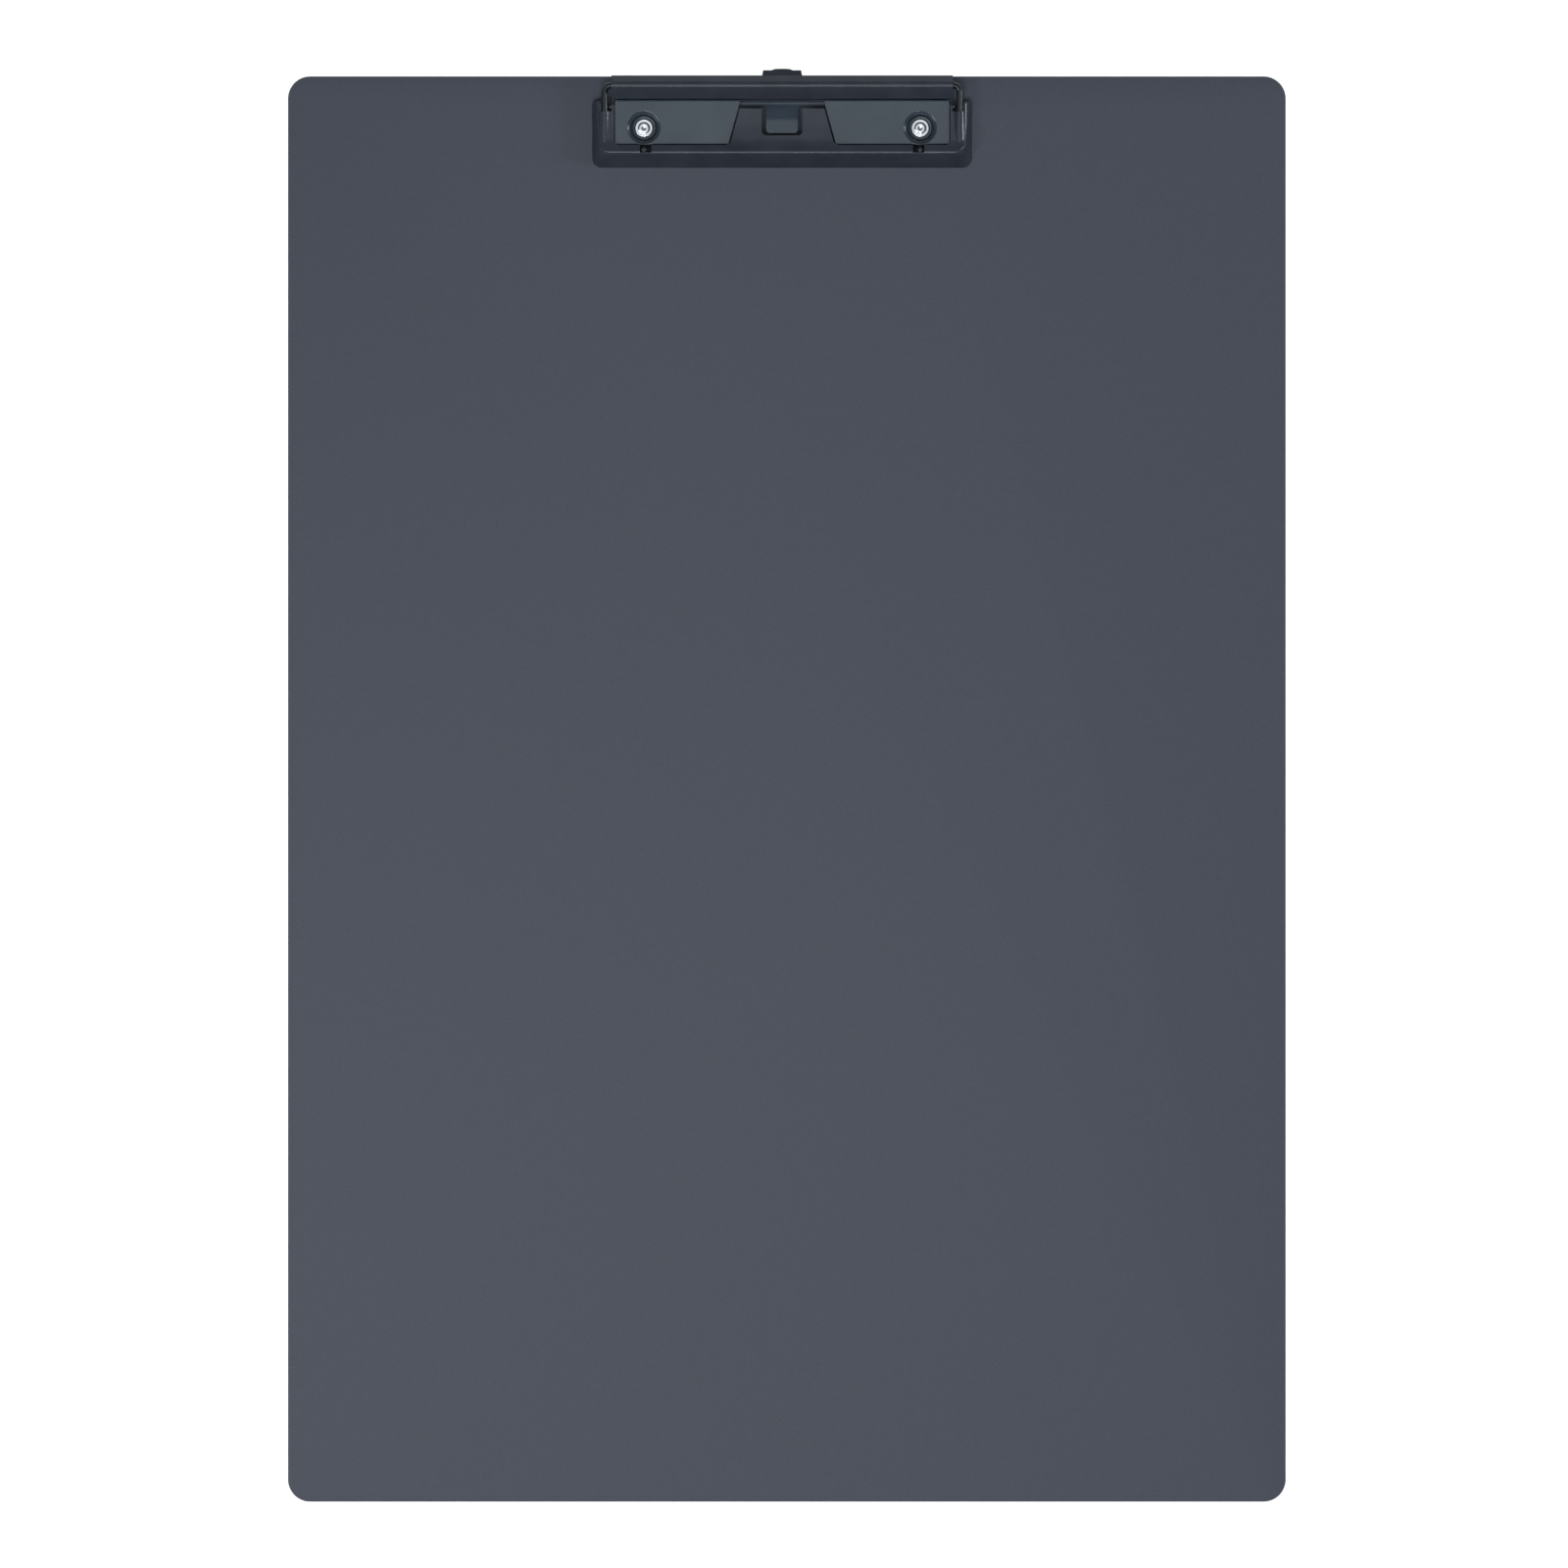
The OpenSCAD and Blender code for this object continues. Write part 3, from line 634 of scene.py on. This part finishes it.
def start_rod(name, place, radius, along):
    """A disc that stands across the way a rod will run, ready to be pulled."""
    turn = (0, math.pi / 2, 0) if along == "X" else (math.pi / 2, 0, 0)
    bpy.ops.object.select_all(action="DESELECT")
    bpy.ops.mesh.primitive_circle_add(
        vertices=20, radius=radius, fill_type="NGON", location=place, rotation=turn
    )
    rod = bpy.context.object
    rod.name = name
    bpy.ops.object.transform_apply(location=True, rotation=True, scale=True)
    bpy.ops.object.mode_set(mode="EDIT")
    bpy.ops.mesh.select_all(action="SELECT")
    return rod


def run_to_front(leg_start, end_x):
    """Pulls the disc down the leg, round the front corner and in behind the lip."""
    extrude_to((0, leg_start - corner_back, 0))
    bpy.ops.mesh.spin(
        steps=8, angle=math.pi / 2, center=at(leg_x - front_bend_r, corner_back, axis_h), axis=(0, 0, 1)
    )
    extrude_to((end_x - leg_x + front_bend_r, 0, 0))


def close_rod(rod, side):
    """Tilts a finished rod to the wire's slope, and turns it over for the left side."""
    bpy.ops.mesh.select_all(action="SELECT")
    bpy.ops.mesh.remove_doubles(threshold=0.000005)
    bpy.ops.transform.rotate(
        value=-wire_tilt, orient_axis="X", center_override=at(0, axis_back, axis_h)
    )
    if side < 0:
        bpy.ops.transform.resize(value=(-1, 1, 1), center_override=at(0, 0, 0))
    bpy.ops.mesh.normals_make_consistent(inside=False)
    leave_edit()


black_wire, tree, shader = start_material("black_wire", 0.3)
drawn = grain(tree, 0.0005, 3)
tree.links.new(
    blend_colours(tree, drawn, (0.006, 0.007, 0.010), (0.010, 0.012, 0.016)),
    shader.inputs["Base Color"],
)
shader.inputs["Specular IOR Level"].default_value = 0.25
raise_grain(tree, shader, drawn, 0.000003)

for name, side in (("left", -1), ("right", 1)):
    wire = start_rod(name + "_wire", at(0.0512, axis_back, axis_h), wire_r, "X")
    extrude_to((leg_x - rear_bend_r - 0.0512, 0, 0))
    bpy.ops.mesh.spin(
        steps=8, angle=math.pi / 2,
        center=at(leg_x - rear_bend_r, axis_back + rear_bend_r, axis_h), axis=(0, 0, 1),
    )
    # the leg is pulled in short lengths
    leg = corner_back - axis_back - rear_bend_r
    for step in range(11):
        extrude_to((0, -leg / 12, 0))
    run_to_front(axis_back + rear_bend_r + leg * 11 / 12, tip_x + tip_bend_r)
    bpy.ops.mesh.spin(
        steps=6, angle=-math.pi / 2,
        center=at(tip_x + tip_bend_r, front_line, axis_h + tip_bend_r), axis=(0, 1, 0),
    )
    extrude_to((0, 0, tip_l))
    close_rod(wire, side)
    start_edit(wire, "FACE")
    mesh = bmesh.from_edit_mesh(wire.data)
    for face in mesh.faces:
        face.select_set(len(face.verts) > 4)
    bmesh.update_edit_mesh(wire.data)
    bpy.ops.mesh.bevel(offset=0.0005, segments=4)
    leave_edit()
    smooth(wire, 50)
    finish_piece(wire, black_wire, "spring_wire", None, name + "_spring")
    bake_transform(wire)


# ---- Jaw pins ----
# A short headed pin on each side holds the jaw's lug to the base plate's end wall. They
# are plain turned pins, blackened like the wires, so they keep the frame's own shape.
for name in ("left_jaw_pin", "right_jaw_pin"):
    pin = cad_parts[name]
    pin.data.materials.clear()
    pin.data.materials.append(black_wire)


# ---- Jaw ----
# The moving part that holds the sheets: one 0.8 mm pressing in gloss blue-black paint.
# It has a tall lip at the front, an arm on each side with a channel for the wire, and a
# middle plate with a notch for the tongue.
jaw_half = 0.060
arm_inner = 0.053
arm_step = 0.0571
lip_gap = 0.00015
end_lean = 0.0018 / 0.0046
jaw_path = [
    (0.0073, 0.0012), (0.0084, 0.0046), (0.0152, 0.0046), (0.0216, 0.0057),
    (0.0245, 0.0073), (0.0289, lip_gap),
]
mouth = 0.0113
channel_r = 0.0011
channel_outer_r = 0.0017
arm_corner_r = 0.0020
window_corner_r = 0.0016
notch_half = 0.0064
notch_front = 0.0189
slot_inner = 0.0412
slot_outer = 0.0448
slot_rear = 0.0219
slot_front = 0.0244


def off_end(side, spot):
    """How far a spot lies outside the leaning plane at this end of the jaw."""
    return side * (spot.x - clip_middle) + end_lean * (spot.z - board_top) - jaw_half


jaw = fold_sheet("jaw_pressing", jaw_half + 0.001, jaw_path, [0, 0, 0, 0])
foot_x = jaw_half - end_lean * lip_gap
for side in (-1, 1):
    pick(jaw, "FACE", lambda middle, normal: True)
    bpy.ops.mesh.bisect(
        plane_co=at(side * jaw_half, 0, 0), plane_no=Vector((side, 0, end_lean)).normalized(),
        clear_outer=True,
    )
    leave_edit()
    pick(
        jaw, "EDGE",
        lambda middle, way: abs(off_end(side, middle)) < 1e-5 and abs(way.x) < 0.9,
    )
    extrude_to((0, 0, 0))
    bpy.ops.transform.resize(value=(0, 1, 0), center_override=at(side * foot_x, 0, lip_gap))
    bpy.ops.mesh.select_all(action="SELECT")
    bpy.ops.mesh.remove_doubles(threshold=0.00001)
    leave_edit()
face_up(jaw)

# the flange's rear end stands clear of the board, so that the jaw can tip
pick(
    jaw, "EDGE",
    lambda middle, way: abs(way.y) > 0.9
    and middle.z < board_top + 0.0003 and middle.y > board_end - 0.0084,
)
bpy.ops.transform.translate(value=(0, 0, 0.0009))
leave_edit()
pick(
    jaw, "EDGE",
    lambda middle, way: middle.y < board_end - 0.025 and abs(way.z) > 0.6
    and abs(way.y) > 0.2 and abs(middle.x - clip_middle) > 0.055,
)
bpy.ops.mesh.bevel(offset=0.0028, segments=6)
leave_edit()
start_edit(jaw, "EDGE")
bpy.ops.mesh.edges_select_sharp(sharpness=math.radians(32))
bpy.ops.mesh.bevel(offset=0.0009, segments=5)
leave_edit()
for back, up in jaw_path[2:4]:
    fold = at(0, back, up)
    pick(
        jaw, "EDGE",
        lambda middle, way: abs(way.x) > 0.9
        and abs(middle.y - fold.y) < 1e-5 and abs(middle.z - fold.z) < 1e-5,
    )
    bpy.ops.mesh.bevel(offset=0.0016, segments=3)
    leave_edit()
thicken(jaw, steel_t)

plan = add_block("plan", at(-jaw_half, 0.04, -0.01), at(jaw_half, jaw_path[0][0], 0.02))
pick(plan, "EDGE", lambda middle, way: abs(way.z) > 0.9 and middle.y > board_end - 0.02)
bpy.ops.mesh.bevel(offset=arm_corner_r, segments=6)
leave_edit()
combine(jaw, plan, "INTERSECT")

for side in (-1, 1):
    window = add_plate("cutter", [at(side * x, back, -0.01) for x, back in [
        (plate_half(-0.001), -0.001), (arm_inner, -0.001),
        (arm_inner, window_front), (plate_half(window_front), window_front),
    ]], (0, 0, 0.03))
    pick(window, "EDGE", lambda middle, way: abs(way.z) > 0.9 and middle.y < board_end - 0.02)
    bpy.ops.mesh.bevel(offset=window_corner_r, segments=6)
    leave_edit()
    combine(jaw, window, "DIFFERENCE")
    low_x, high_x = sorted((side * 0.05, side * arm_step))
    combine(jaw, add_block("cutter", at(low_x, mouth, -0.01), at(high_x, -0.001, 0.02)), "DIFFERENCE")
combine(jaw, add_block("cutter", at(-0.05, plate_rear, -0.01), at(0.05, -0.001, 0.02)), "DIFFERENCE")

notch = add_block("cutter", at(-notch_half, notch_front, -0.01), at(notch_half, 0.005, 0.02))
pick(notch, "EDGE", lambda middle, way: abs(way.z) > 0.9 and middle.y < board_end - 0.018)
bpy.ops.mesh.bevel(offset=0.0013, segments=5)
leave_edit()
combine(jaw, notch, "DIFFERENCE")

for side in (-1, 1):
    channel = start_rod("channel", at(leg_x, mouth, axis_h), channel_outer_r, "Y")
    run_to_front(mouth, tip_x)
    close_rod(channel, side)
    floor_cut = add_block("cutter", at(-0.07, 0.03, -0.01), at(0.07, 0, 0.0037))
    combine(channel, floor_cut, "DIFFERENCE")
    combine(jaw, channel, "UNION")
for side in (-1, 1):
    bore = start_rod("bore", at(leg_x, mouth - 0.002, axis_h), channel_r, "Y")
    run_to_front(mouth - 0.002, tip_x - 0.001)
    close_rod(bore, side)
    combine(jaw, bore, "DIFFERENCE")
    low_x, high_x = sorted((side * slot_inner, side * slot_outer))
    slot = add_block("cutter", at(low_x, slot_front, 0.001), at(high_x, slot_rear, 0.02))
    combine(jaw, slot, "DIFFERENCE")

# the lugs that turn on the jaw pins, each with the heel that the lever's cam presses
pin_back = 0.0096
pin_h = 0.0022
lug_outline = [
    (0.0048, 0.0020), (0.0048, 0.0026), (0.0078, 0.0027), (0.0084, 0.0037), (0.0096, 0.0042),
    (0.0113, 0.0042), (0.0143, 0.0042), (0.0143, 0.0022), (0.0114, 0.0012), (0.0104, 0.0004),
    (0.0088, 0.0004), (0.0077, 0.0019),
]
for side in (-1, 1):
    lug = add_plate(
        "lug", [at(side * arm_inner, back, up) for back, up in lug_outline], (side * steel_t, 0, 0)
    )
    combine(lug, add_cross_drill(side, pin_back, pin_h, 0.00095), "DIFFERENCE")
    combine(jaw, lug, "UNION")

clip_paint, tree, shader = start_material("clip_paint", 0.25)
peel = grain(tree, 0.0009, 2)
tone = grain(tree, 0.010, 2)
tree.links.new(
    blend_colours(tree, tone, (0.018, 0.021, 0.029), (0.025, 0.029, 0.038)),
    shader.inputs["Base Color"],
)
shader.inputs["Specular IOR Level"].default_value = 0.21
raise_grain(tree, shader, peel, 0.000012)

soften(jaw, 0.00012)
finish_piece(jaw, clip_paint, "clip_paint", "jaw_body", "jaw_plate")


# ---- Lever ----
# The bar that opens the clip: the same steel and paint, folded to a ridge and closed by
# an ear at each end that turns on the wire. A finger tab runs out past the board.
lever_half = 0.0538
lever_path = [(0, 0.0056), (axis_back, 0.0088), (0.0073, 0.0044)]
ridge_r = 0.0015
ear_inner = 0.053
tab_half = 0.0063
tab_reach = 0.0022
tab_shoulder = 0.0017

lever = fold_sheet("lever_bar", lever_half, lever_path, [ridge_r], 7)
thicken(lever, steel_t)

ear_outline = [
    (0.0004, 0.0057), (0.0023, 0.0075), (0.0031, 0.0079), (0.0039, 0.0075), (0.0070, 0.0045),
    (0.0070, 0.0038), (0.0065, 0.0034),
    (0.0031, 0.0032), (0.0018, 0.0037), (0.0015, 0.0050),
]
for side in (-1, 1):
    ear = add_plate(
        "ear", [at(side * ear_inner, back, up) for back, up in ear_outline],
        (side * (lever_half - ear_inner), 0, 0),
    )
    combine(ear, add_cross_drill(side, axis_back, axis_h, eye_bore_r), "DIFFERENCE")
    combine(lever, ear, "UNION")

tab_path = [(0.0028, 0.0082), (0.0001, 0.0055), (-0.0030, 0.0031)]
tab = fold_sheet("tab", tab_half, tab_path, [0.002])
thicken(tab, steel_t)
tab_plan = add_plate("tab_plan", [at(x, back, 0) for x, back in [
    (-0.0060, 0.004), (0.0060, 0.004), (0.0063, 0), (0.0060, -tab_shoulder), (0.0034, -tab_shoulder),
    (0.0024, -0.0021), (0.0010, -tab_reach), (-0.0010, -tab_reach), (-0.0024, -0.0021),
    (-0.0034, -tab_shoulder), (-0.0060, -tab_shoulder), (-0.0063, 0),
]], (0, 0, 0.02))
combine(tab, tab_plan, "INTERSECT")
combine(lever, tab, "UNION")
soften(lever, 0.00012)
finish_piece(lever, clip_paint, "clip_paint", "lever_body", "lever")
